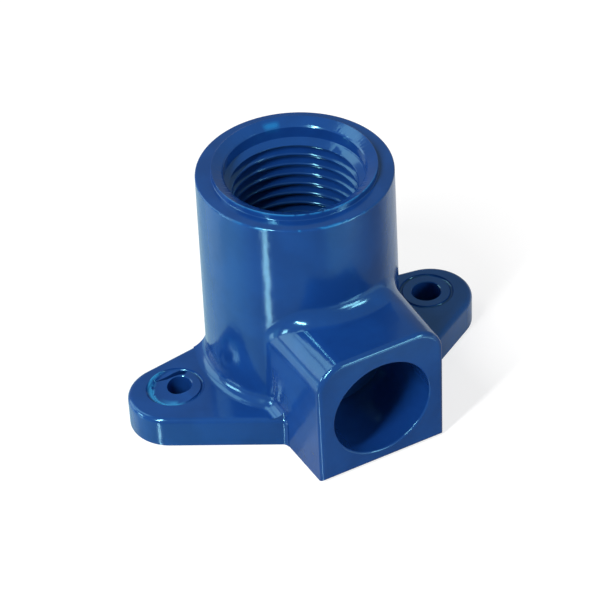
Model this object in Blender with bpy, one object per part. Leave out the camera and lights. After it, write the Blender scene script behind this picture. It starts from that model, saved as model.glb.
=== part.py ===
# Drop-ear elbow for a half-inch water line, moulded in one piece from blue CPVC.
# A threaded port stands up from a flat wall plate, and a solvent socket with a
# square outside leaves it at a right angle. Screws go through the two ears.
# Frame: origin on the underside of the plate, on the port's axis. +Z is up along
# the port, -Y is the way that the socket opens, and +X is along the ears.
# All lengths are in metres and all angles in degrees.

from math import asin, cos, pi, radians, sin, tan

import bmesh
import bpy
from mathutils import Matrix, Vector

# Threaded port, outside
PORT_DIAMETER = 0.0294
PORT_HEIGHT = 0.0381
PORT_DRAFT = 0.55
LIP_DIAMETER = 0.0246
LIP_RISE = 0.00105
LIP_SLOPE = 25.0
RIM_ROUNDING = 0.0003

# Threaded port, inside: a half-inch parallel pipe thread
THREAD_MAJOR_DIAMETER = 0.020955
THREAD_MINOR_DIAMETER = 0.018631
THREAD_PITCH = 0.001814
THREAD_FLANK_ANGLE = 27.5
THREAD_ROOT_FLAT = 0.00034
THREAD_LENGTH = 0.0135
COUNTERBORE_CLEARANCE = 0.00007
COUNTERBORE_DEPTH = 0.0017
LEAD_IN_SLOPE = 30.0
PORT_WATERWAY_DIAMETER = 0.0166
FLOOR_THICKNESS = 0.0037

# Socket block
SOCKET_REACH = 0.0247
BLOCK_WIDTH = 0.0210
BLOCK_HEIGHT = 0.0214
BLOCK_DRAFT = 1.9
BLOCK_CORNER_RADIUS = 0.0046
BLOCK_EDGE_ROUNDING = 0.0005

# Socket bore, for a half-inch tube glued in against the shoulder
SOCKET_BORE_DIAMETER = 0.0160
SOCKET_BORE_DEPTH = 0.0127
SOCKET_BORE_TAPER = 0.4
SOCKET_MOUTH_CHAMFER = 0.0003
SOCKET_AXIS_HEIGHT = 0.01015
SOCKET_WATERWAY_DIAMETER = 0.0122

# Wall plate with its two ears
PLATE_THICKNESS = 0.0050
EAR_END_X = 0.02275
EAR_END_Y = 0.0002
EAR_END_RADIUS = 0.0066
EAR_FRONT_SLOPE = 30.3
EAR_BACK_SLOPE = 9.1
PLATE_EDGE_ROUNDING = 0.0008

# Screw hole in each ear, inside a break-out ring marked by a shallow groove
HOLE_X = 0.0225
HOLE_SETBACK = 0.0009
HOLE_DIAMETER = 0.0046
RING_DIAMETER = 0.0080
RING_GROOVE_WIDTH = 0.0004
RING_GROOVE_DEPTH = 0.0004

# The left-hand ring is torn. It has slipped towards the port, it leans down at
# its outer side, its hole is squeezed, and it has parted from the ear at the back
TORN_SHIFT = 0.0010
TORN_LEAN = 11.5
TORN_LEAN_START = 0.0010
TORN_DISH_DIAMETER = 0.0074
TORN_WALL_SLOPE = 40.0
TORN_HOLE_DIAMETER = 0.0038
TORN_HOLE_OFFSET = (0.0006, 0.0002)
TORN_GAP_OUTLINE = ((-0.0020, 0.0032), (-0.0005, 0.0026), (0.0013, 0.0023), (0.0025, 0.0022),
                    (0.0031, 0.0027), (0.0029, 0.0030), (0.0015, 0.0029), (0.0, 0.0029))

# Fillets in the inside corners. Each is a ball rolled along the corner, sunk a hair
# into both walls so that the fillet bites into them
TOP_BLEND_RADIUS = 0.0018
SIDE_BLEND_RADIUS = 0.0033
FOOT_BLEND_RADIUS = 0.0020
FRONT_CORNER_RADIUS = 0.0010
BACK_CORNER_RADIUS = 0.0004
BLEND_BITE = 0.00003
BLEND_ROOT = 0.001
FOOT_BLEND_INSET = 0.00025
FOOT_BLEND_SHARE = 0.8

# How finely round shapes are stepped, how often a fillet's place is refined, how far
# the plate's outline runs on inside the body, and how far a cutter stands proud
PORT_STEPS = 72
THREAD_STEPS = 36
SOCKET_STEPS = 48
HOLE_STEPS = 32
EAR_STEPS = 14
BLOCK_CORNER_STEPS = 8
BLEND_STEPS = 4
BLEND_STATIONS = 8
ROUNDING_STEPS = 2
SETTLING_STEPS = 8
OUTLINE_OVERLAP = 0.004
CUT_MARGIN = 0.001
NEAR = 1e-6

# Moulded plastic
BODY_COLOUR = (0.006, 0.047, 0.205, 1.0)
BODY_ROUGHNESS = 0.22

COUNTERBORE_RADIUS = THREAD_MAJOR_DIAMETER / 2 + COUNTERBORE_CLEARANCE
COUNTERBORE_SEAT = PORT_HEIGHT - COUNTERBORE_DEPTH
PORT_TOP = PORT_HEIGHT + LIP_RISE + CUT_MARGIN


for thing in list(bpy.data.objects):
    bpy.data.objects.remove(thing, do_unlink=True)


def new_object(name, bm):
    """A closed object from a bmesh, with its faces pointing out."""
    bmesh.ops.remove_doubles(bm, verts=bm.verts, dist=1e-7)
    bmesh.ops.recalc_face_normals(bm, faces=bm.faces)
    mesh = bpy.data.meshes.new(name)
    bm.to_mesh(mesh)
    bm.free()
    obj = bpy.data.objects.new(name, mesh)
    bpy.context.scene.collection.objects.link(obj)
    return obj


def combine(target, tool, operation):
    """Apply one Boolean to the target and take the tool away."""
    step = target.modifiers.new(tool.name, "BOOLEAN")
    step.operation = operation
    step.solver = "EXACT"
    step.object = tool
    depsgraph = bpy.context.evaluated_depsgraph_get()
    result = bpy.data.meshes.new_from_object(target.evaluated_get(depsgraph))
    target.modifiers.clear()
    target.data = result
    bpy.data.objects.remove(tool, do_unlink=True)


def turned(name, profile, steps):
    """A solid turned about the Z axis from (radius, height) points."""
    bm = bmesh.new()
    points = [bm.verts.new((radius, 0.0, height)) for radius, height in profile]
    edges = [bm.edges.new(pair) for pair in zip(points, points[1:])]
    bmesh.ops.spin(bm, geom=points + edges, cent=(0, 0, 0), axis=(0, 0, 1),
                   angle=2 * pi, steps=steps, use_merge=True)
    return new_object(name, bm)


def drawn(name, outline, direction):
    """A solid drawn from a flat outline of 3-D points along a direction."""
    bm = bmesh.new()
    face = bm.faces.new([bm.verts.new(point) for point in outline])
    bmesh.ops.recalc_face_normals(bm, faces=bm.faces)
    drawn_out = bmesh.ops.extrude_face_region(bm, geom=[face])["geom"]
    far = [item for item in drawn_out if isinstance(item, bmesh.types.BMVert)]
    bmesh.ops.translate(bm, verts=far, vec=direction)
    return new_object(name, bm)


def round_edges(obj, radius, steps, chosen):
    """Round the edges for which chosen(first end, second end) is true."""
    bm = bmesh.new()
    bm.from_mesh(obj.data)
    edges = [edge for edge in bm.edges if chosen(edge.verts[0].co, edge.verts[1].co)]
    bmesh.ops.bevel(bm, geom=edges, offset=radius, offset_type="OFFSET", affect="EDGES",
                    segments=steps, profile=0.5, material=-1)
    bm.to_mesh(obj.data)
    bm.free()


def swept(name, sections):
    """A closed solid through a row of sections with equally many points."""
    bm = bmesh.new()
    rows = [[bm.verts.new(point) for point in section] for section in sections]
    for row, following in zip(rows, rows[1:]):
        for index in range(len(row)):
            bm.faces.new((row[index - 1], row[index], following[index],
                          following[index - 1]))
    bm.faces.new(rows[0])
    bm.faces.new(rows[-1])
    bmesh.ops.triangulate(bm, faces=bm.faces)
    return new_object(name, bm)


def fillet_section(centre, to_first, to_second, radius, root):
    """The hollow arc between two contact points, closed by a point inside the walls."""
    arc = [centre + radius * to_first.slerp(to_second, step / BLEND_STEPS)
           for step in range(BLEND_STEPS + 1)]
    return arc + [root]


def port_wall_radius(height):
    return PORT_DIAMETER / 2 + (PORT_HEIGHT - height) * tan(radians(PORT_DRAFT))


def block_half_width(y):
    return BLOCK_WIDTH / 2 + (SOCKET_REACH + y) * tan(radians(BLOCK_DRAFT))


def port_outside():
    """The port's outer wall, its flat rim and the raised lip round the mouth."""
    lip = LIP_DIAMETER / 2
    lip_top = PORT_HEIGHT + LIP_RISE
    inner = COUNTERBORE_RADIUS - CUT_MARGIN
    inner_top = lip_top - (lip - inner) * tan(radians(LIP_SLOPE))
    shoulder = PORT_HEIGHT - RIM_ROUNDING
    profile = [(0.0, 0.0), (port_wall_radius(0.0), 0.0),
               (port_wall_radius(shoulder), shoulder),
               (port_wall_radius(PORT_HEIGHT) - RIM_ROUNDING, PORT_HEIGHT),
               (lip, PORT_HEIGHT), (lip, lip_top), (inner, inner_top), (0.0, inner_top)]
    return turned("port_outside", profile, PORT_STEPS)


def plate_outline(inset):
    """The plate's plan: round ear ends, straight sides, hollow corners at the block
    in front and at the port behind."""
    front = radians(EAR_FRONT_SLOPE)
    back = radians(EAR_BACK_SLOPE)
    ear_end = Vector((EAR_END_X, EAR_END_Y, 0.0))
    front_normal = Vector((sin(front), -cos(front), 0.0))
    back_normal = Vector((sin(back), cos(back), 0.0))

    # the front corner touches the ear's front side and the block's side
    reach = ear_end.dot(front_normal) + EAR_END_RADIUS + FRONT_CORNER_RADIUS
    block_side = block_half_width(-SOCKET_REACH / 2)
    front_centre = Vector((block_side + FRONT_CORNER_RADIUS, 0.0, 0.0))
    front_centre.y = (sin(front) * front_centre.x - reach) / cos(front)
    # the back corner touches the ear's back side and the port's wall
    reach = ear_end.dot(back_normal) + EAR_END_RADIUS + BACK_CORNER_RADIUS
    out = port_wall_radius(PLATE_THICKNESS) + BACK_CORNER_RADIUS
    bearing = asin(reach / out) - back
    back_centre = out * Vector((cos(bearing), sin(bearing), 0.0))

    inward = Vector((-1.0, 0.0, 0.0))
    to_port = -back_centre.normalized()
    outline = [front_centre + OUTLINE_OVERLAP * inward]
    for step in range(BLEND_STEPS + 1):
        turn = inward.slerp(-front_normal, step / BLEND_STEPS)
        outline.append(front_centre + (FRONT_CORNER_RADIUS + inset) * turn)
    for step in range(EAR_STEPS + 1):
        turn = front - pi / 2 + (pi - back - front) * step / EAR_STEPS
        spoke = Vector((cos(turn), sin(turn), 0.0))
        outline.append(ear_end + (EAR_END_RADIUS - inset) * spoke)
    for step in range(BLEND_STEPS + 1):
        turn = (-back_normal).slerp(to_port, step / BLEND_STEPS)
        outline.append(back_centre + (BACK_CORNER_RADIUS + inset) * turn)
    outline.append(back_centre + OUTLINE_OVERLAP * to_port)
    return outline + [Vector((-point.x, point.y, 0.0)) for point in reversed(outline)]


def wall_plate():
    plate = drawn("wall_plate", plate_outline(0.0), (0, 0, PLATE_THICKNESS))
    top = PLATE_THICKNESS - NEAR
    round_edges(plate, PLATE_EDGE_ROUNDING, ROUNDING_STEPS,
                lambda a, b: min(a.z, b.z) > top)
    return plate


def socket_block():
    """The square block, drawn from its front face back to the port's axis."""
    half = BLOCK_WIDTH / 2
    corner = BLOCK_CORNER_RADIUS
    outline = [(-half, -SOCKET_REACH, 0.0), (half, -SOCKET_REACH, 0.0)]
    for centre_x, first in ((half - corner, 0.0), (corner - half, pi / 2)):
        for step in range(BLOCK_CORNER_STEPS + 1):
            turn = first + pi / 2 * step / BLOCK_CORNER_STEPS
            outline.append((centre_x + corner * cos(turn), -SOCKET_REACH,
                            BLOCK_HEIGHT - corner + corner * sin(turn)))
    block = drawn("socket_block", outline, (0, SOCKET_REACH, 0))
    for vert in block.data.vertices:
        vert.co.x *= block_half_width(vert.co.y) / half
    face = NEAR - SOCKET_REACH
    round_edges(block, BLOCK_EDGE_ROUNDING, ROUNDING_STEPS,
                lambda a, b: max(a.y, b.y) < face)
    return block


def block_blend_section(x, z, normal):
    """One section between block and port, at a point on the block's front outline."""
    side = normal.x ** 2
    radius = TOP_BLEND_RADIUS + (SIDE_BLEND_RADIUS - TOP_BLEND_RADIUS) * side
    reach = radius - BLEND_BITE
    y = -port_wall_radius(z)
    for _ in range(SETTLING_STEPS):
        wall_x = x * block_half_width(y) / block_half_width(-SOCKET_REACH)
        centre = Vector((wall_x + reach * normal.x, 0.0, z + reach * normal.z))
        port = port_wall_radius(centre.z)
        centre.y = -((port + reach) ** 2 - centre.x ** 2) ** 0.5
        y = centre.y
    to_port = Vector((-centre.x, -centre.y, 0.0)).normalized()
    root = Vector((wall_x - BLEND_ROOT * normal.x, 0.0, z - BLEND_ROOT * normal.z))
    root.y = -((port - BLEND_ROOT) ** 2 - root.x ** 2) ** 0.5
    return fillet_section(centre, to_port, -normal, radius, root)


def block_blend():
    """The hollow corner where the block's sides and top run into the port."""
    flat = BLOCK_WIDTH / 2 - BLOCK_CORNER_RADIUS
    shoulder = BLOCK_HEIGHT - BLOCK_CORNER_RADIUS
    places = [(BLOCK_WIDTH / 2, BLEND_ROOT, Vector((1.0, 0.0, 0.0)))]
    for step in range(BLOCK_CORNER_STEPS + 1):
        turn = pi / 2 * step / BLOCK_CORNER_STEPS
        normal = Vector((cos(turn), 0.0, sin(turn)))
        places.append((flat + BLOCK_CORNER_RADIUS * normal.x,
                       shoulder + BLOCK_CORNER_RADIUS * normal.z, normal))
    for step in range(1, BLEND_STATIONS):
        x = flat * (1 - 2 * step / BLEND_STATIONS)
        places.append((x, BLOCK_HEIGHT, Vector((0.0, 0.0, 1.0))))
    for x, z, normal in reversed(places[:BLOCK_CORNER_STEPS + 2]):
        places.append((-x, z, Vector((-normal.x, 0.0, normal.z))))
    return swept("block_blend", [block_blend_section(*place) for place in places])


def foot_blend():
    """The hollow corner round the foot of port and block, down onto the plate."""
    port = port_wall_radius(PLATE_THICKNESS)
    side = block_blend_section(BLOCK_WIDTH / 2, PLATE_THICKNESS, Vector((1.0, 0.0, 0.0)))
    contacts = side[:-1]
    block_end = contacts[-1]
    slope = radians(BLOCK_DRAFT)
    side_normal = Vector((cos(slope), -sin(slope), 0.0))
    centre = block_end + side_normal * SIDE_BLEND_RADIUS
    walls = []
    front = block_end.copy()
    front.y = -SOCKET_REACH * FOOT_BLEND_SHARE
    front.x = block_half_width(front.y)
    walls.append((front, side_normal))
    for point in reversed(contacts):
        walls.append((point, (centre - point).normalized()))
    first = contacts[0].xy.angle(Vector((0.0, -1.0)))
    steps = round(PORT_STEPS * (pi - first) / pi / 2)
    for step in range(1, steps + 1):
        turn = first - pi / 2 + (pi - first) * step / steps
        normal = Vector((cos(turn), sin(turn), 0.0))
        walls.append((port * normal, normal))
    for point, normal in reversed(walls[:-1]):
        walls.append((Vector((-point.x, point.y, 0.0)), Vector((-normal.x, normal.y, 0.0))))
    reach = FOOT_BLEND_RADIUS - BLEND_BITE
    down = Vector((0.0, 0.0, -1.0))
    sections = []
    for point, normal in walls:
        ball = point + reach * normal
        ball.z = PLATE_THICKNESS + reach
        root = point - BLEND_ROOT * normal
        root.z = PLATE_THICKNESS - BLEND_ROOT
        sections.append(fillet_section(ball, -normal, down, FOOT_BLEND_RADIUS, root))
    blend = swept("foot_blend", sections)
    combine(blend, drawn("plate_plan", plate_outline(FOOT_BLEND_INSET),
                         (0, 0, PLATE_THICKNESS + 2 * FOOT_BLEND_RADIUS)), "INTERSECT")
    return blend


def port_bore():
    """Counterbore, lead-in cone, thread's minor bore and the waterway to its floor."""
    minor = THREAD_MINOR_DIAMETER / 2
    waterway = PORT_WATERWAY_DIAMETER / 2
    lead_in = (COUNTERBORE_RADIUS - minor) * tan(radians(LEAD_IN_SLOPE))
    thread_foot = COUNTERBORE_SEAT - lead_in - THREAD_LENGTH
    profile = [(0.0, PORT_TOP), (COUNTERBORE_RADIUS, PORT_TOP),
               (COUNTERBORE_RADIUS, COUNTERBORE_SEAT), (minor, COUNTERBORE_SEAT - lead_in),
               (minor, thread_foot), (waterway, thread_foot - (minor - waterway)),
               (waterway, FLOOR_THICKNESS), (0.0, FLOOR_THICKNESS)]
    return turned("port_bore", profile, PORT_STEPS)


def thread_groove():
    """The groove between the thread's crests, wound down from the counterbore. It
    starts on the left-hand side, over the torn ear."""
    minor = THREAD_MINOR_DIAMETER / 2
    major = THREAD_MAJOR_DIAMETER / 2
    flank = tan(radians(THREAD_FLANK_ANGLE))
    inner = minor - THREAD_ROOT_FLAT / 2
    root_half = THREAD_ROOT_FLAT / 2
    inner_half = root_half + (major - inner) * flank
    start = COUNTERBORE_SEAT + inner_half
    turns = (THREAD_LENGTH + inner_half) / THREAD_PITCH
    bm = bmesh.new()
    corners = ((inner, -inner_half), (major, -root_half), (major, root_half),
               (inner, inner_half))
    face = bm.faces.new([bm.verts.new((-radius, 0.0, start + rise))
                         for radius, rise in corners])
    steps = round(turns * THREAD_STEPS)
    bmesh.ops.spin(bm, geom=[face], cent=(0, 0, 0), axis=(0, 0, 1),
                   angle=-2 * pi * steps / THREAD_STEPS, steps=steps,
                   dvec=(0, 0, -THREAD_PITCH / THREAD_STEPS))
    return new_object("thread_groove", bm)


def socket_bore():
    """Mouth chamfer, tapered socket, tube stop and waterway into the port."""
    bore = SOCKET_BORE_DIAMETER / 2
    mouth = bore + SOCKET_MOUTH_CHAMFER
    bottom = bore - SOCKET_BORE_DEPTH * tan(radians(SOCKET_BORE_TAPER))
    waterway = SOCKET_WATERWAY_DIAMETER / 2
    profile = [(0.0, SOCKET_REACH + CUT_MARGIN), (mouth, SOCKET_REACH + CUT_MARGIN),
               (mouth, SOCKET_REACH), (bore, SOCKET_REACH - SOCKET_MOUTH_CHAMFER),
               (bottom, SOCKET_REACH - SOCKET_BORE_DEPTH),
               (waterway, SOCKET_REACH - SOCKET_BORE_DEPTH), (waterway, 0.0), (0.0, 0.0)]
    bore_solid = turned("socket_bore", profile, SOCKET_STEPS)
    lie_down = Matrix.Rotation(pi / 2, 4, "X")
    bore_solid.data.transform(Matrix.Translation((0, 0, SOCKET_AXIS_HEIGHT)) @ lie_down)
    return bore_solid


def ring_groove(centre):
    """The shallow groove round a break-out ring."""
    radius = RING_DIAMETER / 2
    half = RING_GROOVE_WIDTH / 2
    top = PLATE_THICKNESS + CUT_MARGIN
    bottom = PLATE_THICKNESS - RING_GROOVE_DEPTH
    profile = [(radius - half, top), (radius + half, top), (radius + half, PLATE_THICKNESS),
               (radius + half / 2, bottom), (radius - half / 2, bottom),
               (radius - half, PLATE_THICKNESS), (radius - half, top)]
    groove = turned("ring_groove", profile, HOLE_STEPS)
    groove.data.transform(Matrix.Translation(centre))
    return groove


def screw_hole(centre, diameter):
    radius = diameter / 2
    top = PLATE_THICKNESS + CUT_MARGIN
    profile = [(0.0, -CUT_MARGIN), (radius, -CUT_MARGIN), (radius, top), (0.0, top)]
    hole = turned("screw_hole", profile, HOLE_STEPS)
    hole.data.transform(Matrix.Translation(centre))
    return hole


def torn_dish(centre):
    """The space over the leaning ring: a flared disc, tipped down at the outer side."""
    radius = TORN_DISH_DIAMETER / 2
    rise = 2 * CUT_MARGIN
    rim = radius + rise * tan(radians(TORN_WALL_SLOPE))
    dish = turned("torn_dish", [(0.0, 0.0), (radius, 0.0), (rim, rise), (0.0, rise)],
                  HOLE_STEPS)
    hinge = Vector((TORN_LEAN_START, 0, PLATE_THICKNESS))
    lean = Matrix.Rotation(-radians(TORN_LEAN), 4, "Y")
    dish.data.transform(Matrix.Translation(centre + hinge) @ lean
                        @ Matrix.Translation((-TORN_LEAN_START, 0, 0)))
    return dish


def torn_gap(centre):
    """The opening behind the ring, where it has parted from the ear."""
    outline = [centre + Vector((x, y, -CUT_MARGIN)) for x, y in TORN_GAP_OUTLINE]
    return drawn("torn_gap", outline, (0, 0, PLATE_THICKNESS + 2 * CUT_MARGIN))


def body_plastic():
    plastic = bpy.data.materials.new("blue_cpvc")
    plastic.use_nodes = True
    surface = plastic.node_tree.nodes["Principled BSDF"]
    surface.inputs["Base Color"].default_value = BODY_COLOUR
    surface.inputs["Roughness"].default_value = BODY_ROUGHNESS
    surface.inputs["Metallic"].default_value = 0.0
    return plastic


# The outside: three shapes joined, then the fillets in their inside corners
body = port_outside()
body.name = "elbow_body"
combine(body, wall_plate(), "UNION")
combine(body, socket_block(), "UNION")
combine(body, block_blend(), "UNION")
combine(body, foot_blend(), "UNION")

# The screw holes, sound on the right and torn on the left
right_ear = Vector((HOLE_X, HOLE_SETBACK, 0.0))
left_ear = Vector((TORN_SHIFT - HOLE_X, HOLE_SETBACK, 0.0))
combine(body, ring_groove(right_ear), "DIFFERENCE")
combine(body, screw_hole(right_ear, HOLE_DIAMETER), "DIFFERENCE")
combine(body, ring_groove(left_ear), "DIFFERENCE")
combine(body, torn_dish(left_ear), "DIFFERENCE")
combine(body, torn_gap(left_ear), "DIFFERENCE")
torn_hole_centre = left_ear + Vector((TORN_HOLE_OFFSET[0], TORN_HOLE_OFFSET[1], 0.0))
combine(body, screw_hole(torn_hole_centre, TORN_HOLE_DIAMETER), "DIFFERENCE")

# The waterway: down the port, round the corner and out through the socket
combine(body, port_bore(), "DIFFERENCE")
combine(body, thread_groove(), "DIFFERENCE")
combine(body, socket_bore(), "DIFFERENCE")

body.data.materials.clear()
body.data.materials.append(body_plastic())
body.data.shade_smooth()
body.data.set_sharp_from_angle(angle=radians(30))
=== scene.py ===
# A blue CPVC drop-ear elbow on a white table, seen from above and to the left.

from math import asin, cos, pi, radians, sin, tan

import bmesh
import bpy
from mathutils import Matrix, Vector


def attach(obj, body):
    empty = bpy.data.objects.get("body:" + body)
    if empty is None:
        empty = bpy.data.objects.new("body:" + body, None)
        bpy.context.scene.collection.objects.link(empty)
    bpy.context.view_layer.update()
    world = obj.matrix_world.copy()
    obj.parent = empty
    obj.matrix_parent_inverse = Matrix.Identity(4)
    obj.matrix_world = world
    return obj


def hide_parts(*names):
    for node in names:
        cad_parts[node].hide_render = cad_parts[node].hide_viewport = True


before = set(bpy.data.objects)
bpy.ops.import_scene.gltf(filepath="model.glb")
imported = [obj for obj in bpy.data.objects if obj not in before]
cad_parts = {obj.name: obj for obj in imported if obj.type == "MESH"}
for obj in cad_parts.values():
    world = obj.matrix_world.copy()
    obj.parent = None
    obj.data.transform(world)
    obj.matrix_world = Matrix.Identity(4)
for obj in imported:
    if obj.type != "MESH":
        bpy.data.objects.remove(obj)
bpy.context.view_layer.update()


# The port: the round tower that a threaded pipe screws into. It is moulded with a
# slight draft, and its rim has a flat shoulder with a raised lip round the mouth.

PORT_RADIUS = 0.0147
PORT_HEIGHT = 0.0381
PORT_DRAFT = radians(0.55)
PORT_STEPS = 180
LIP_RADIUS = 0.0123
LIP_TOP = PORT_HEIGHT + 0.00105
LIP_SLOPE = radians(25)
MOUTH_RADIUS = 0.01055
MOUTH_SPARE = 0.001
RIM_ROUNDING = 0.0003
RIM_ROUNDING_STEPS = 4
LIP_ROUNDING = 0.00014
LIP_ROUNDING_STEPS = 3
# Extra rings in the wall, just above each fillet, keep its shading even
WALL_RINGS = (0.0074, 0.0246)
MERGE_DISTANCE = 1e-7
NEAR = 1e-6


def made(name, bm):
    """Turn a finished bmesh into an object whose faces point outwards."""
    bmesh.ops.remove_doubles(bm, verts=bm.verts, dist=MERGE_DISTANCE)
    bmesh.ops.recalc_face_normals(bm, faces=bm.faces)
    mesh = bpy.data.meshes.new(name)
    bm.to_mesh(mesh)
    bm.free()
    thing = bpy.data.objects.new(name, mesh)
    bpy.context.scene.collection.objects.link(thing)
    return thing


def turned(name, profile, steps):
    """Spin a profile of (radius, height) points round the Z axis."""
    bm = bmesh.new()
    points = [bm.verts.new((radius, 0.0, height)) for radius, height in profile]
    edges = [bm.edges.new(pair) for pair in zip(points, points[1:])]
    bmesh.ops.spin(bm, geom=points + edges, cent=(0, 0, 0), axis=(0, 0, 1),
                   angle=2 * pi, steps=steps, use_merge=True)
    return made(name, bm)


def round_edges(thing, radius, steps, chosen):
    """Round the edges for which chosen(first end, second end) is true."""
    bm = bmesh.new()
    bm.from_mesh(thing.data)
    edges = [edge for edge in bm.edges if chosen(edge.verts[0].co, edge.verts[1].co)]
    bmesh.ops.bevel(bm, geom=edges, offset=radius, offset_type="OFFSET", affect="EDGES",
                    segments=steps, profile=0.5, material=-1)
    bm.to_mesh(thing.data)
    bm.free()


def join(body, other, operation="UNION"):
    """Join another solid to the body, or cut it out, and take it away."""
    step = body.modifiers.new(other.name, "BOOLEAN")
    step.operation = operation
    step.solver = "EXACT"
    step.object = other
    depsgraph = bpy.context.evaluated_depsgraph_get()
    result = bpy.data.meshes.new_from_object(body.evaluated_get(depsgraph))
    body.modifiers.clear()
    body.data = result
    bpy.data.objects.remove(other, do_unlink=True)


def port_wall(height):
    """The port's outside radius at a height."""
    return PORT_RADIUS + (PORT_HEIGHT - height) * tan(PORT_DRAFT)


def ring_edge(radius, height):
    """Choose the circular edge at this radius and height."""
    def chosen(a, b):
        return all(abs(end.xy.length - radius) < 10 * NEAR
                   and abs(end.z - height) < 10 * NEAR for end in (a, b))
    return chosen


inside = MOUTH_RADIUS - MOUTH_SPARE
inside_top = LIP_TOP - (LIP_RADIUS - inside) * tan(LIP_SLOPE)
wall = [(port_wall(height), height) for height in (0.0, *WALL_RINGS, PORT_HEIGHT)]
elbow = turned("elbow", [(0.0, 0.0), *wall, (LIP_RADIUS, PORT_HEIGHT), (LIP_RADIUS, LIP_TOP),
                         (inside, inside_top), (0.0, inside_top)], PORT_STEPS)
round_edges(elbow, RIM_ROUNDING, RIM_ROUNDING_STEPS,
            ring_edge(port_wall(PORT_HEIGHT), PORT_HEIGHT))
round_edges(elbow, LIP_ROUNDING, LIP_ROUNDING_STEPS, ring_edge(LIP_RADIUS, PORT_HEIGHT))
round_edges(elbow, LIP_ROUNDING, LIP_ROUNDING_STEPS, ring_edge(LIP_RADIUS, LIP_TOP))


# The wall plate: a flat bar under the port whose two ears are screwed to the wall.
# It is part of the same moulding, with straight sides, round ends and a soft top edge.

PLATE_THICKNESS = 0.0050
EAR_END = Vector((0.02275, 0.0002, 0.0))
EAR_END_RADIUS = 0.0066
EAR_FRONT_SLOPE = radians(30.3)
EAR_BACK_SLOPE = radians(9.1)
EAR_STEPS = 48
PLATE_EDGE_ROUNDING = 0.0008
PLATE_ROUNDING_STEPS = 6
FRONT_CORNER_RADIUS = 0.0010
BACK_CORNER_RADIUS = 0.0004
OUTLINE_OVERLAP = 0.004
BLEND_STEPS = 10

BLOCK_REACH = 0.0247
BLOCK_WIDTH = 0.0210
BLOCK_DRAFT = radians(1.9)


def block_half_width(y):
    """Half the socket block's width, which grows towards the port."""
    return BLOCK_WIDTH / 2 + (BLOCK_REACH + y) * tan(BLOCK_DRAFT)


def drawn(name, outline, direction):
    """Fill an outline and draw it out along a direction."""
    bm = bmesh.new()
    face = bm.faces.new([bm.verts.new(point) for point in outline])
    bmesh.ops.recalc_face_normals(bm, faces=bm.faces)
    grown = bmesh.ops.extrude_face_region(bm, geom=[face])["geom"]
    far = [item for item in grown if isinstance(item, bmesh.types.BMVert)]
    bmesh.ops.translate(bm, verts=far, vec=direction)
    return made(name, bm)


def swing(centre, radius, first, last, steps):
    """Points on an arc between two unit directions, both ends included."""
    return [centre + radius * first.slerp(last, step / steps) for step in range(steps + 1)]


def plate_outline(inset=0.0):
    """The plate's plan, with hollow corners at the block in front and the port behind."""
    front_normal = Vector((sin(EAR_FRONT_SLOPE), -cos(EAR_FRONT_SLOPE), 0.0))
    back_normal = Vector((sin(EAR_BACK_SLOPE), cos(EAR_BACK_SLOPE), 0.0))
    reach = EAR_END.dot(front_normal) + EAR_END_RADIUS + FRONT_CORNER_RADIUS
    front_corner = Vector((block_half_width(-BLOCK_REACH / 2) + FRONT_CORNER_RADIUS, 0.0, 0.0))
    front_corner.y = (sin(EAR_FRONT_SLOPE) * front_corner.x - reach) / cos(EAR_FRONT_SLOPE)
    reach = EAR_END.dot(back_normal) + EAR_END_RADIUS + BACK_CORNER_RADIUS
    out = port_wall(PLATE_THICKNESS) + BACK_CORNER_RADIUS
    bearing = asin(reach / out) - EAR_BACK_SLOPE
    back_corner = out * Vector((cos(bearing), sin(bearing), 0.0))
    inward = Vector((-1.0, 0.0, 0.0))
    to_port = -back_corner.normalized()
    outline = [front_corner + OUTLINE_OVERLAP * inward]
    outline += swing(front_corner, FRONT_CORNER_RADIUS + inset, inward, -front_normal,
                     BLEND_STEPS)
    outline += swing(EAR_END, EAR_END_RADIUS - inset, front_normal, Vector((1.0, 0.0, 0.0)),
                     EAR_STEPS // 2)
    outline += swing(EAR_END, EAR_END_RADIUS - inset, Vector((1.0, 0.0, 0.0)), back_normal,
                     EAR_STEPS // 2)[1:]
    outline += swing(back_corner, BACK_CORNER_RADIUS + inset, -back_normal, to_port,
                     BLEND_STEPS)
    outline.append(back_corner + OUTLINE_OVERLAP * to_port)
    return outline + [Vector((-point.x, point.y, 0.0)) for point in reversed(outline)]


plate = drawn("plate", plate_outline(), (0, 0, PLATE_THICKNESS))
round_edges(plate, PLATE_EDGE_ROUNDING, PLATE_ROUNDING_STEPS,
            lambda a, b: min(a.z, b.z) > PLATE_THICKNESS - NEAR)
join(elbow, plate)


# The socket block: the square outside of the tube socket. Its sides spread a little
# towards the port, its two upper corners are well rounded and its front edges are soft.

BLOCK_HEIGHT = 0.0214
BLOCK_CORNER = 0.0046
BLOCK_CORNER_STEPS = 16
BLOCK_EDGE_ROUNDING = 0.0008
BLOCK_ROUNDING_STEPS = 5

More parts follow.
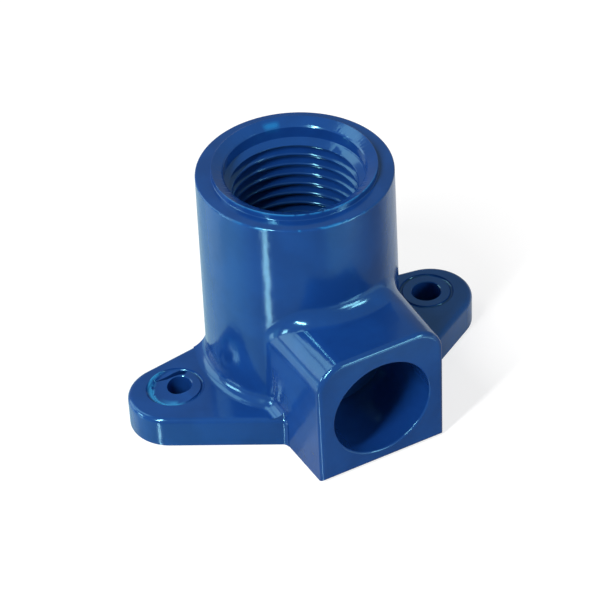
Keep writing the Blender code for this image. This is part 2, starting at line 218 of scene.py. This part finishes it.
half = BLOCK_WIDTH / 2
shoulder = BLOCK_HEIGHT - BLOCK_CORNER
block_front = [Vector((-half, -BLOCK_REACH, 0.0)), Vector((half, -BLOCK_REACH, 0.0))]
right, up, left = Vector((1.0, 0.0, 0.0)), Vector((0.0, 0.0, 1.0)), Vector((-1.0, 0.0, 0.0))
block_front += swing(Vector((half - BLOCK_CORNER, -BLOCK_REACH, shoulder)), BLOCK_CORNER,
                     right, up, BLOCK_CORNER_STEPS)
block_front += swing(Vector((BLOCK_CORNER - half, -BLOCK_REACH, shoulder)), BLOCK_CORNER,
                     up, left, BLOCK_CORNER_STEPS)
block = drawn("block", block_front, (0, BLOCK_REACH, 0))
for vert in block.data.vertices:
    vert.co.x *= block_half_width(vert.co.y) / half
round_edges(block, BLOCK_EDGE_ROUNDING, BLOCK_ROUNDING_STEPS,
            lambda a, b: max(a.y, b.y) < NEAR - BLOCK_REACH)
join(elbow, block)


# The fillets: the plastic runs in a smooth hollow from the port into the block and down
# onto the plate. Each follows a ball rolled along its corner, and starts a little inside
# the solids that it joins.

TOP_BLEND = 0.0028
SIDE_BLEND = 0.0033
FOOT_BLEND = 0.0020
BLEND_BITE = 0.00002
BLEND_ROOT = 0.001
FOOT_BLEND_INSET = 0.00025
TOP_STATIONS = 28
SETTLING_STEPS = 8
FOOT_BLEND_SHARE = 0.8


def grown(name, sections):
    """Extrude a closed section from station to station and cap both ends."""
    bm = bmesh.new()
    first = [bm.verts.new(point) for point in sections[0]]
    loop = [bm.edges.new((first[index - 1], first[index])) for index in range(len(first))]
    bmesh.ops.contextual_create(bm, geom=loop)
    order = first
    for section in sections[1:]:
        place = {tuple(vert.co): index for index, vert in enumerate(order)}
        out = bmesh.ops.extrude_edge_only(bm, edges=loop)["geom"]
        order = [None] * len(section)
        for item in out:
            if isinstance(item, bmesh.types.BMVert):
                order[place[tuple(item.co)]] = item
        for vert, point in zip(order, section):
            vert.co = point
        moved = set(order)
        loop = [item for item in out if isinstance(item, bmesh.types.BMEdge)
                and moved.issuperset(item.verts)]
    bmesh.ops.contextual_create(bm, geom=loop)
    bmesh.ops.triangulate(bm, faces=bm.faces)
    return made(name, bm)


def block_blend_section(x, z, normal):
    """The hollow between port and block at a point on the block's front outline."""
    radius = TOP_BLEND + (SIDE_BLEND - TOP_BLEND) * normal.x ** 2
    reach = radius - BLEND_BITE
    y = -port_wall(z)
    for _ in range(SETTLING_STEPS):
        wall_x = x * block_half_width(y) / half
        ball = Vector((wall_x + reach * normal.x, 0.0, z + reach * normal.z))
        port = port_wall(ball.z)
        ball.y = -((port + reach) ** 2 - ball.x ** 2) ** 0.5
        y = ball.y
    to_port = Vector((-ball.x, -ball.y, 0.0)).normalized()
    root = Vector((wall_x - BLEND_ROOT * normal.x, 0.0, z - BLEND_ROOT * normal.z))
    root.y = -((port - BLEND_ROOT) ** 2 - root.x ** 2) ** 0.5
    return swing(ball, radius, to_port, -normal, BLEND_STEPS) + [root]


flat = half - BLOCK_CORNER
places = [(half, BLEND_ROOT, right)]
for step in range(BLOCK_CORNER_STEPS + 1):
    normal = right.slerp(up, step / BLOCK_CORNER_STEPS)
    places.append((flat + BLOCK_CORNER * normal.x, shoulder + BLOCK_CORNER * normal.z, normal))
mirrored = [(-x, z, Vector((-normal.x, 0.0, normal.z))) for x, z, normal in reversed(places)]
for step in range(1, TOP_STATIONS):
    places.append((flat * (1 - 2 * step / TOP_STATIONS), BLOCK_HEIGHT, up))
join(elbow, grown("block_blend", [block_blend_section(*place) for place in places + mirrored]))

# The foot's fillet follows the port and the block's sides on top of the plate
corner = block_blend_section(half, PLATE_THICKNESS, right)[:-1]
side_normal = Vector((cos(BLOCK_DRAFT), -sin(BLOCK_DRAFT), 0.0))
side_ball = corner[-1] + SIDE_BLEND * side_normal
start = Vector((0.0, -FOOT_BLEND_SHARE * BLOCK_REACH, 0.0))
start.x = block_half_width(start.y)
walls = [(start, side_normal)]
walls += [(point, (side_ball - point).normalized()) for point in reversed(corner)]
first = corner[0].xy.angle(Vector((0.0, -1.0)))
steps = round(PORT_STEPS * (pi - first) / pi / 2)
for step in range(1, steps + 1):
    turn = first - pi / 2 + (pi - first) * step / steps
    normal = Vector((cos(turn), sin(turn), 0.0))
    walls.append((port_wall(PLATE_THICKNESS) * normal, normal))
walls += [(Vector((-point.x, point.y, 0.0)), Vector((-normal.x, normal.y, 0.0)))
          for point, normal in reversed(walls[:-1])]
reach = FOOT_BLEND - BLEND_BITE
sections = []
for point, normal in walls:
    ball = point + reach * normal
    ball.z = PLATE_THICKNESS + reach
    root = point - BLEND_ROOT * normal
    root.z = PLATE_THICKNESS - BLEND_ROOT
    sections.append(swing(ball, FOOT_BLEND, -normal, -up, BLEND_STEPS) + [root])
foot_blend = grown("foot_blend", sections)
plan_height = PLATE_THICKNESS + 2 * FOOT_BLEND
plan = drawn("plate_plan", plate_outline(FOOT_BLEND_INSET), (0, 0, plan_height))
join(foot_blend, plan, "INTERSECT")
join(elbow, foot_blend)


# The screw holes: each ear has a hole inside a ring that a shallow groove marks, so
# the ring can be broken out for a larger screw. The right-hand one is whole.

HOLE = Vector((0.0225, 0.0009, 0.0))
HOLE_RADIUS = 0.0023
HOLE_MOUTH_ROUNDING = 0.00012
HOLE_STEPS = 72
RING_RADIUS = 0.0040
GROOVE_HALF_WIDTH = 0.0003
GROOVE_DEPTH = 0.00035
GROOVE_STEPS = 6
CUT_MARGIN = 0.001


def screw_hole(centre, radius):
    """A straight hole whose upper edge is slightly broken."""
    top = PLATE_THICKNESS + CUT_MARGIN
    mouth = radius + HOLE_MOUTH_ROUNDING
    hole = turned("screw_hole", [(0.0, -CUT_MARGIN), (radius, -CUT_MARGIN),
                                 (radius, PLATE_THICKNESS - HOLE_MOUTH_ROUNDING),
                                 (mouth, PLATE_THICKNESS), (mouth, top), (0.0, top)], HOLE_STEPS)
    hole.data.transform(Matrix.Translation(centre))
    return hole


def ring_groove(centre):
    """The shallow round-bottomed groove round a break-out ring."""
    top = PLATE_THICKNESS + CUT_MARGIN
    profile = [(RING_RADIUS - GROOVE_HALF_WIDTH, top)]
    for step in range(GROOVE_STEPS + 1):
        turn = pi * step / GROOVE_STEPS
        profile.append((RING_RADIUS - GROOVE_HALF_WIDTH * cos(turn),
                        PLATE_THICKNESS - GROOVE_DEPTH * sin(turn)))
    profile += [(RING_RADIUS + GROOVE_HALF_WIDTH, top), (RING_RADIUS - GROOVE_HALF_WIDTH, top)]
    groove = turned("ring_groove", profile, HOLE_STEPS)
    groove.data.transform(Matrix.Translation(centre))
    return groove


join(elbow, ring_groove(HOLE), "DIFFERENCE")
join(elbow, screw_hole(HOLE, HOLE_RADIUS), "DIFFERENCE")


# The torn ring: on the left-hand ear the ring has been forced. It has slipped towards
# the port and leans down at its outer side, where the plastic is scraped and whitened.

TORN_RING = Vector((-0.0215, 0.0009, 0.0))
TORN_LEAN = radians(11.5)
TORN_LEAN_START = 0.0010
TORN_DISH_RADIUS = 0.0037
TORN_WALL_SLOPE = radians(40)
TORN_HOLE_RADIUS = 0.0019
TORN_HOLE = TORN_RING + Vector((0.0006, 0.0002, 0.0))
TORN_GAP = [(-0.0020, 0.0032), (-0.0005, 0.0025), (0.0013, 0.0022), (0.0026, 0.0019),
            (0.0032, 0.0026), (0.0029, 0.0031), (0.0015, 0.0030), (0.0, 0.0030)]

join(elbow, ring_groove(TORN_RING), "DIFFERENCE")
rise = 2 * CUT_MARGIN
dish = turned("torn_dish", [(0.0, 0.0), (TORN_DISH_RADIUS, 0.0),
                            (TORN_DISH_RADIUS + rise * tan(TORN_WALL_SLOPE), rise), (0.0, rise)],
              HOLE_STEPS)
dish.data.transform(Matrix.Translation(TORN_RING + Vector((TORN_LEAN_START, 0, PLATE_THICKNESS)))
                    @ Matrix.Rotation(-TORN_LEAN, 4, "Y")
                    @ Matrix.Translation((-TORN_LEAN_START, 0, 0)))
join(elbow, dish, "DIFFERENCE")
gap = [TORN_RING + Vector((x, y, -CUT_MARGIN)) for x, y in TORN_GAP]
join(elbow, drawn("torn_gap", gap, (0, 0, PLATE_THICKNESS + 2 * CUT_MARGIN)), "DIFFERENCE")
join(elbow, screw_hole(TORN_HOLE, TORN_HOLE_RADIUS), "DIFFERENCE")


# The threaded bore: a counterbore, a lead-in cone and a half-inch pipe thread, which
# an unscrewing core leaves in the moulding with rounded crests and roots.

THREAD_MAJOR = 0.0104775
THREAD_MINOR = 0.0093155
THREAD_PITCH = 0.001814
THREAD_FLANK = radians(27.5)
THREAD_ROUNDING = 0.137329 * THREAD_PITCH
THREAD_CREST_FLAT = 0.00006
THREAD_CREST = THREAD_MINOR - 0.00002
THREAD_LENGTH = 0.0135
THREAD_STEPS = 72
THREAD_CURVE_STEPS = 4
COUNTERBORE_DEPTH = 0.0017
LEAD_IN_SLOPE = radians(30)
WATERWAY_RADIUS = 0.0083
FLOOR_THICKNESS = 0.0037

seat = PORT_HEIGHT - COUNTERBORE_DEPTH
bore_top = LIP_TOP + CUT_MARGIN
mouth_top = LIP_TOP - (LIP_RADIUS - MOUTH_RADIUS) * tan(LIP_SLOPE)
lead_in = (MOUTH_RADIUS - THREAD_CREST) * tan(LEAD_IN_SLOPE)
thread_foot = seat - lead_in - THREAD_LENGTH
port_bore = turned("port_bore", [
    (0.0, bore_top), (MOUTH_RADIUS + CUT_MARGIN + LIP_ROUNDING, bore_top),
    (MOUTH_RADIUS + LIP_ROUNDING, mouth_top), (MOUTH_RADIUS, mouth_top - LIP_ROUNDING),
    (MOUTH_RADIUS, seat), (THREAD_CREST, seat - lead_in), (THREAD_CREST, thread_foot),
    (WATERWAY_RADIUS, thread_foot - (THREAD_CREST - WATERWAY_RADIUS)),
    (WATERWAY_RADIUS, FLOOR_THICKNESS), (0.0, FLOOR_THICKNESS)], PORT_STEPS)
join(elbow, port_bore, "DIFFERENCE")


def thread_section():
    """One turn's groove: round root, straight flanks and half a round crest each side."""
    tangent = pi / 2 - THREAD_FLANK
    root = [(THREAD_MAJOR - THREAD_ROUNDING * (1 - cos(turn)), THREAD_ROUNDING * sin(turn))
            for turn in (tangent * step / THREAD_CURVE_STEPS
                         for step in range(THREAD_CURVE_STEPS + 1))]
    crest_end = THREAD_PITCH / 2 - THREAD_CREST_FLAT / 2
    crest = []
    for step in range(THREAD_CURVE_STEPS):
        turn = tangent * (1 - step / THREAD_CURVE_STEPS)
        crest.append((THREAD_MINOR + THREAD_ROUNDING * (1 - cos(turn)),
                      THREAD_PITCH / 2 - THREAD_ROUNDING * sin(turn)))
    crest.append((THREAD_MINOR, crest_end))
    side = root + crest + [(THREAD_MINOR - THREAD_ROUNDING, crest_end)]
    return [(radius, -rise) for radius, rise in reversed(side[1:])] + side


section = thread_section()
thread_start = seat + THREAD_PITCH / 2
turns = (THREAD_LENGTH + THREAD_PITCH / 2) / THREAD_PITCH
thread_steps = round(turns * THREAD_STEPS)
bm = bmesh.new()
face = bm.faces.new([bm.verts.new((radius, 0.0, thread_start + rise)) for radius, rise in section])
bmesh.ops.spin(bm, geom=[face], cent=(0, 0, 0), axis=(0, 0, 1),
               angle=-2 * pi * thread_steps / THREAD_STEPS, steps=thread_steps,
               dvec=(0, 0, -THREAD_PITCH / THREAD_STEPS))
thread = made("thread", bm)
thread.data.transform(Matrix.Rotation(pi, 4, "Z"))
join(elbow, thread, "DIFFERENCE")


# The tube socket: a plain, slightly tapered bore that a tube is glued into, with a
# stop inside and a smaller waterway that opens into the port's.

SOCKET_RADIUS = 0.0080
SOCKET_DEPTH = 0.0127
SOCKET_TAPER = radians(0.4)
SOCKET_MOUTH = 0.0003
SOCKET_MOUTH_STEPS = 3
SOCKET_HEIGHT = 0.01015
SOCKET_WATERWAY = 0.0061
SOCKET_STEPS = 144

stop = BLOCK_REACH - SOCKET_DEPTH
outside = BLOCK_REACH + CUT_MARGIN
profile = [(0.0, outside), (SOCKET_RADIUS + SOCKET_MOUTH, outside)]
for step in range(SOCKET_MOUTH_STEPS + 1):
    turn = pi / 2 * step / SOCKET_MOUTH_STEPS
    profile.append((SOCKET_RADIUS + SOCKET_MOUTH * (1 - sin(turn)),
                    BLOCK_REACH - SOCKET_MOUTH * (1 - cos(turn))))
profile += [(SOCKET_RADIUS - SOCKET_DEPTH * tan(SOCKET_TAPER), stop), (SOCKET_WATERWAY, stop),
            (SOCKET_WATERWAY, 0.0), (0.0, 0.0)]
socket = turned("socket", profile, SOCKET_STEPS)
socket.data.transform(Matrix.Translation((0, 0, SOCKET_HEIGHT)) @ Matrix.Rotation(pi / 2, 4, "X"))
join(elbow, socket, "DIFFERENCE")


# The finish: glossy blue CPVC as it leaves a polished mould. The skin is a little uneven
# and rippled. The torn ring's bent plastic has whitened, and the lip has a scraped patch.
# A painted highlight is laid in pale blue along the near edges of the rim and lip, and
# along the back edge of the torn ring's gap.

BLUE = (0.0060, 0.0460, 0.2150, 1.0)
DEEP_BLUE = (0.0050, 0.0370, 0.1800, 1.0)
# Pale blue for the lip's scraped patch and for a painted highlight on the near edges of rim and
# lip
SCRAPE_AND_HIGHLIGHT_BLUE = (0.0060, 0.1500, 0.4200, 1.0)
# Whitened torn plastic, also used for a painted highlight on the back edge of the torn ring's gap
WHITENED_AND_HIGHLIGHT_BLUE = (0.0600, 0.5000, 0.9000, 1.0)
SHEEN_TINT = (0.32, 0.86, 1.0, 1.0)
SHEEN_LEVEL = 0.9
REFRACTION = 1.53
GLOSS = 0.11
RIPPLE_DULLNESS = 0.06
WORN_DULLNESS = 0.3
RIPPLE_HEIGHT = 0.00004
MOTTLE_SCALE = 160.0
RIPPLE_SCALE = 420.0
GRAIN_SCALE = 5200.0
GRAIN_SHARE = 0.02
PATCH_DETAIL = 4.0
PATCH_SOFTNESS = 0.12
SHARP_ANGLE = radians(38)


def feed(tree, socket, value):
    """Link another node's output to a socket, or set the socket's own value."""
    if isinstance(value, bpy.types.NodeSocket):
        tree.links.new(value, socket)
    else:
        socket.default_value = value


def calc(tree, operation, *values):
    """One sum of numbers and other nodes' outputs."""
    node = tree.nodes.new("ShaderNodeMath")
    node.operation = operation
    for socket, value in zip(node.inputs, values):
        feed(tree, socket, value)
    return node.outputs["Value"]


def fade(tree, value, start, end, low=0.0, high=1.0):
    """A soft step from low to high as a value goes from start to end."""
    node = tree.nodes.new("ShaderNodeMapRange")
    node.interpolation_type = "SMOOTHSTEP"
    for socket, given in zip(node.inputs, (value, start, end, low, high)):
        feed(tree, socket, given)
    return node.outputs["Result"]


def noise(tree, place, scale, detail):
    """A noise between 0 and 1 over a place."""
    node = tree.nodes.new("ShaderNodeTexNoise")
    feed(tree, node.inputs["Vector"], place)
    feed(tree, node.inputs["Scale"], scale)
    node.inputs["Detail"].default_value = detail
    return node.outputs["Fac"]


def blended(tree, factor, first, second):
    """Mix two colours."""
    node = tree.nodes.new("ShaderNodeMix")
    node.data_type = "RGBA"
    sockets = {socket.identifier: socket for socket in node.inputs}
    feed(tree, sockets["Factor_Float"], factor)
    feed(tree, sockets["A_Color"], first)
    feed(tree, sockets["B_Color"], second)
    return next(socket for socket in node.outputs if socket.type == "RGBA")


def ring_wear_and_highlight():
    """A mask on a circle's edge, round one bearing and broken up by noise, used for wear and for
    painted highlights.
    """
    tree = bpy.data.node_groups.new("ring_wear_and_highlight", "ShaderNodeTree")
    centre = tree.interface.new_socket("Centre", in_out="INPUT", socket_type="NodeSocketVector")
    centre.default_value = (0.0, 0.0, 0.0)
    for name, value in (("Radius", 0.01), ("Half Width", 0.0005), ("Half Height", 0.0005),
                        ("Bearing", 0.0), ("Half Sweep", 1.0), ("Patch Scale", 900.0),
                        ("Cover", 0.5)):
        socket = tree.interface.new_socket(name, in_out="INPUT", socket_type="NodeSocketFloat")
        socket.default_value = value
    tree.interface.new_socket("Mask", in_out="OUTPUT", socket_type="NodeSocketFloat")
    given = tree.nodes.new("NodeGroupInput").outputs
    place = tree.nodes.new("ShaderNodeTexCoord").outputs["Object"]
    local = tree.nodes.new("ShaderNodeVectorMath")
    local.operation = "SUBTRACT"
    feed(tree, local.inputs[0], place)
    feed(tree, local.inputs[1], given["Centre"])
    parts = tree.nodes.new("ShaderNodeSeparateXYZ")
    feed(tree, parts.inputs["Vector"], local.outputs["Vector"])
    x, y, z = parts.outputs
    out = calc(tree, "SQRT", calc(tree, "ADD", calc(tree, "MULTIPLY", x, x),
                                  calc(tree, "MULTIPLY", y, y)))
    off_edge = calc(tree, "ABSOLUTE", calc(tree, "SUBTRACT", out, given["Radius"]))
    across = fade(tree, off_edge, 0.0, given["Half Width"], 1.0, 0.0)
    upright = fade(tree, calc(tree, "ABSOLUTE", z), 0.0, given["Half Height"], 1.0, 0.0)
    turned_by = calc(tree, "SUBTRACT", calc(tree, "ARCTAN2", y, x), given["Bearing"])
    sweep = fade(tree, calc(tree, "COSINE", turned_by),
                 calc(tree, "COSINE", given["Half Sweep"]), 1.0)
    patches = noise(tree, place, given["Patch Scale"], PATCH_DETAIL)
    uncovered = calc(tree, "SUBTRACT", 1.0, given["Cover"])
    broken = fade(tree, patches, uncovered, calc(tree, "ADD", uncovered, PATCH_SOFTNESS))
    mask = calc(tree, "MULTIPLY", calc(tree, "MULTIPLY", across, upright),
                calc(tree, "MULTIPLY", sweep, broken))
    result = tree.nodes.new("NodeGroupOutput")
    feed(tree, result.inputs["Mask"], mask)
    return tree


cpvc = bpy.data.materials.new("blue_cpvc")
cpvc.use_nodes = True
tree = cpvc.node_tree
skin = tree.nodes["Principled BSDF"]
skin.inputs["Specular Tint"].default_value = SHEEN_TINT
skin.inputs["IOR"].default_value = REFRACTION
skin.inputs["Specular IOR Level"].default_value = SHEEN_LEVEL
place = tree.nodes.new("ShaderNodeTexCoord").outputs["Object"]
wear_and_highlight_group = ring_wear_and_highlight()


def worn_and_highlit_ring(centre, radius, half_width, half_height, bearing, half_sweep, patch_scale, cover):
    """One use of the wear and painted-highlight mask in the skin."""
    node = tree.nodes.new("ShaderNodeGroup")
    node.node_tree = wear_and_highlight_group
    for socket, value in zip(node.inputs, (centre, radius, half_width, half_height, bearing,
                                           half_sweep, patch_scale, cover)):
        socket.default_value = value
    return node.outputs["Mask"]


mottle = fade(tree, noise(tree, place, MOTTLE_SCALE, 3.0), 0.35, 0.65)
ripple = noise(tree, place, RIPPLE_SCALE, 2.0)
grain = noise(tree, place, GRAIN_SCALE, 2.0)
# A painted highlight along the rim's outer edge on the near side
rim_painted_highlight = worn_and_highlit_ring(Vector((0, 0, PORT_HEIGHT)), radius=port_wall(PORT_HEIGHT),
                     half_width=0.0004, half_height=0.0005, bearing=radians(-112),
                     half_sweep=radians(55), patch_scale=500.0, cover=0.51)
# A painted highlight along the lip's edge on the near side
lip_painted_highlight = worn_and_highlit_ring(Vector((0, 0, LIP_TOP)), radius=LIP_RADIUS,
                     half_width=0.0003, half_height=0.0004, bearing=radians(-105),
                     half_sweep=radians(80), patch_scale=420.0, cover=0.60)
lip_patch = worn_and_highlit_ring(Vector((0, 0, LIP_TOP)), radius=LIP_RADIUS - 0.0013,
                      half_width=0.0009, half_height=0.0020, bearing=radians(80),
                      half_sweep=radians(8), patch_scale=300.0, cover=0.85)
torn_top = TORN_RING + Vector((0, 0, PLATE_THICKNESS))
torn_edge = worn_and_highlit_ring(TORN_RING + Vector((0, 0, PLATE_THICKNESS - 0.0006)), radius=0.0039,
                      half_width=0.0007, half_height=0.0014, bearing=radians(195),
                      half_sweep=radians(75), patch_scale=1300.0, cover=0.66)
torn_front = worn_and_highlit_ring(torn_top, radius=0.0035, half_width=0.0010, half_height=0.0010,
                       bearing=radians(219), half_sweep=radians(34), patch_scale=900.0,
                       cover=0.75)
# A painted highlight along the back edge of the torn ring's gap
torn_back_highlight = worn_and_highlit_ring(torn_top, radius=0.0042, half_width=0.0003, half_height=0.0005,
                      bearing=radians(135), half_sweep=radians(50), patch_scale=900.0,
                      cover=0.7)
# Painted highlights on the near edges, together with the lip's scraped patch
scrapes_and_highlights = calc(tree, "MAXIMUM", calc(tree, "MAXIMUM", rim_painted_highlight, lip_painted_highlight), lip_patch)
# Whitened torn plastic, together with the painted highlight at the gap's back edge
whitened_and_highlight = calc(tree, "MAXIMUM", calc(tree, "MAXIMUM", torn_edge, torn_back_highlight), torn_front)
colour = blended(tree, mottle, BLUE, DEEP_BLUE)
colour = blended(tree, scrapes_and_highlights, colour, SCRAPE_AND_HIGHLIGHT_BLUE)
colour = blended(tree, whitened_and_highlight, colour, WHITENED_AND_HIGHLIGHT_BLUE)
feed(tree, skin.inputs["Base Color"], colour)
dull = calc(tree, "MAXIMUM", scrapes_and_highlights, whitened_and_highlight)
gloss = calc(tree, "MULTIPLY_ADD", ripple, RIPPLE_DULLNESS, GLOSS)
feed(tree, skin.inputs["Roughness"], calc(tree, "MULTIPLY_ADD", dull, WORN_DULLNESS, gloss))
surface = tree.nodes.new("ShaderNodeBump")
surface.inputs["Distance"].default_value = RIPPLE_HEIGHT
feed(tree, surface.inputs["Height"], calc(tree, "MULTIPLY_ADD", grain, GRAIN_SHARE, ripple))
feed(tree, skin.inputs["Normal"], surface.outputs["Normal"])

elbow.data.materials.clear()
elbow.data.materials.append(cpvc)
elbow.data.shade_smooth()
elbow.data.set_sharp_from_angle(angle=SHARP_ANGLE)
even = elbow.modifiers.new("even_normals", "WEIGHTED_NORMAL")
even.keep_sharp = True
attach(elbow, "root")
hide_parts("elbow_body")


# The studio: a white table that fills the view, a white surround, a tall narrow lamp on
# the left, which the glossy table mirrors, and softer lights on the other sides. To
# mirrored rays the table glows softly behind the object and at its right front. Under
# the plate, where only the screw holes let one see it, the table is painted dark as a
# painted shadow.

TABLE_HALF_WIDTH = 1.5
TABLE_REFRACTION = 1.8
TABLE_GLOSS = 0.05
TABLE_GLOW = 0.72
# Near-black for the painted shadow on the table under the plate
UNDER_PLATE_SHADOW = (0.01, 0.01, 0.01, 1.0)
SHADOW_GREY = (0.36, 0.36, 0.36, 1.0)
MIRRORED_GREY = (0.22, 0.22, 0.22, 1.0)
BOUNCED_WHITE = (0.75, 0.75, 0.75, 1.0)
COOL_GLOW = (0.35, 0.85, 1.0, 1.0)
WARM_GLOW = (0.85, 0.90, 0.95, 1.0)
WHITE = (1.0, 1.0, 1.0, 1.0)
SURROUND_LIGHT = 0.3

table_bm = bmesh.new()
bmesh.ops.create_grid(table_bm, x_segments=1, y_segments=1, size=TABLE_HALF_WIDTH)
table = made("table", table_bm)
white = bpy.data.materials.new("white_table")
white.use_nodes = True
tree = white.node_tree
path = tree.nodes.new("ShaderNodeLightPath").outputs
spot = tree.nodes.new("ShaderNodeSeparateXYZ")
feed(tree, spot.inputs["Vector"], tree.nodes.new("ShaderNodeTexCoord").outputs["Object"])
along, aside = spot.outputs["X"], spot.outputs["Y"]
# The strip under the plate, seen only through the screw holes, gets a painted shadow
past_holes = calc(tree, "GREATER_THAN", calc(tree, "ABSOLUTE", along), EAR_END.x + HOLE_RADIUS)
past_rings = calc(tree, "GREATER_THAN", calc(tree, "ABSOLUTE", aside), RING_RADIUS)
clear = calc(tree, "MAXIMUM", past_holes, past_rings)

glossy_top = tree.nodes["Principled BSDF"]
glossy_top.inputs["Roughness"].default_value = TABLE_GLOSS
glossy_top.inputs["IOR"].default_value = TABLE_REFRACTION
bounce = blended(tree, path["Is Diffuse Ray"], MIRRORED_GREY, BOUNCED_WHITE)
feed(tree, glossy_top.inputs["Base Color"], blended(tree, clear, UNDER_PLATE_SHADOW, bounce))
tone = blended(tree, fade(tree, along, -0.03, 0.04), COOL_GLOW, WARM_GLOW)
feed(tree, glossy_top.inputs["Emission Color"], tone)
lit_behind = fade(tree, aside, -0.025, 0.010, 0.0, 0.55)
lit_front = calc(tree, "MULTIPLY", fade(tree, aside, -0.034, -0.060, 0.0, 0.40),
                 fade(tree, along, -0.005, 0.010))
lit = calc(tree, "MULTIPLY", calc(tree, "MAXIMUM", lit_behind, lit_front), clear)
glow = calc(tree, "MULTIPLY", lit, path["Is Glossy Ray"])
feed(tree, glossy_top.inputs["Emission Strength"], glow)

plain_top = tree.nodes.new("ShaderNodeBsdfPrincipled")
plain_top.inputs["Roughness"].default_value = 1.0
plain_top.inputs["Specular IOR Level"].default_value = 0.0
plain_top.inputs["Emission Color"].default_value = WHITE
feed(tree, plain_top.inputs["Base Color"], blended(tree, clear, UNDER_PLATE_SHADOW, SHADOW_GREY))
feed(tree, plain_top.inputs["Emission Strength"], calc(tree, "MULTIPLY", clear, TABLE_GLOW))
either = tree.nodes.new("ShaderNodeMixShader")
feed(tree, either.inputs["Fac"], path["Is Camera Ray"])
feed(tree, either.inputs[1], glossy_top.outputs["BSDF"])
feed(tree, either.inputs[2], plain_top.outputs["BSDF"])
feed(tree, tree.nodes["Material Output"].inputs["Surface"], either.outputs["Shader"])
table.data.materials.append(white)

world = bpy.data.worlds.new("surround")
bpy.context.scene.world = world
world.use_nodes = True
tree = world.node_tree
path = tree.nodes.new("ShaderNodeLightPath").outputs
seen = calc(tree, "MAXIMUM", path["Is Camera Ray"], path["Is Transmission Ray"])
strength = calc(tree, "MULTIPLY_ADD", seen, 1.0 - SURROUND_LIGHT, SURROUND_LIGHT)
feed(tree, tree.nodes["Background"].inputs["Strength"], strength)
tree.nodes["Background"].inputs["Color"].default_value = WHITE


def lamp(name, azimuth, elevation, distance, width, height, radiance):
    """A soft rectangular lamp that looks at the middle of the object."""
    light = bpy.data.lights.new(name, "AREA")
    light.shape = "RECTANGLE"
    light.size = width
    light.size_y = height
    light.energy = radiance * pi * width * height
    thing = bpy.data.objects.new(name, light)
    bpy.context.scene.collection.objects.link(thing)
    azimuth, elevation = radians(azimuth), radians(elevation)
    away = Vector((sin(azimuth) * cos(elevation), -cos(azimuth) * cos(elevation),
                   sin(elevation)))
    thing.location = LAMP_AIM + distance * away
    thing.rotation_euler = away.to_track_quat("Z", "Y").to_euler()


LAMP_AIM = Vector((0.0, 0.0, 0.015))
lamp("tall_left", -65, 43, distance=0.6, width=0.045, height=0.36, radiance=67.0)
lamp("low_left", -108, 17, distance=0.6, width=0.17, height=0.12, radiance=11.0)
lamp("left_backdrop", -140, 19, distance=0.7, width=0.34, height=0.40, radiance=1.8)
lamp("front_right", 35, 24, distance=0.7, width=0.16, height=0.12, radiance=13.0)
lamp("front_low", 24, 12, distance=0.7, width=0.24, height=0.12, radiance=9.0)
lamp("behind", -145, 50, distance=0.7, width=0.30, height=0.30, radiance=2.0)


# The camera: a long lens, above and to the left of the socket, rolled a little.

VIEW_AZIMUTH = radians(-26.72)
VIEW_ELEVATION = radians(38.70)
VIEW_ROLL = radians(-2.97)
VIEW_DISTANCE = 0.414
VIEW_CENTRE = Vector((0.0, 0.0, 0.0184))
VIEW_LOWERED = radians(0.537)
LENS = 164.35
SENSOR_WIDTH = 36.0

away = Vector((sin(VIEW_AZIMUTH) * cos(VIEW_ELEVATION), -cos(VIEW_AZIMUTH) * cos(VIEW_ELEVATION),
               sin(VIEW_ELEVATION)))
lens = bpy.data.cameras.new("camera")
lens.sensor_width = SENSOR_WIDTH
lens.lens = LENS
lens.clip_start = 0.01
camera = bpy.data.objects.new("camera", lens)
bpy.context.scene.collection.objects.link(camera)
turn = away.to_track_quat("Z", "Y").to_matrix() @ Matrix.Rotation(VIEW_ROLL, 3, "Z")
turn = turn @ Matrix.Rotation(-VIEW_LOWERED, 3, "X")
camera.location = VIEW_CENTRE + VIEW_DISTANCE * away
camera.rotation_euler = turn.to_euler()
bpy.context.scene.camera = camera
bpy.context.scene.view_settings.view_transform = "Standard"
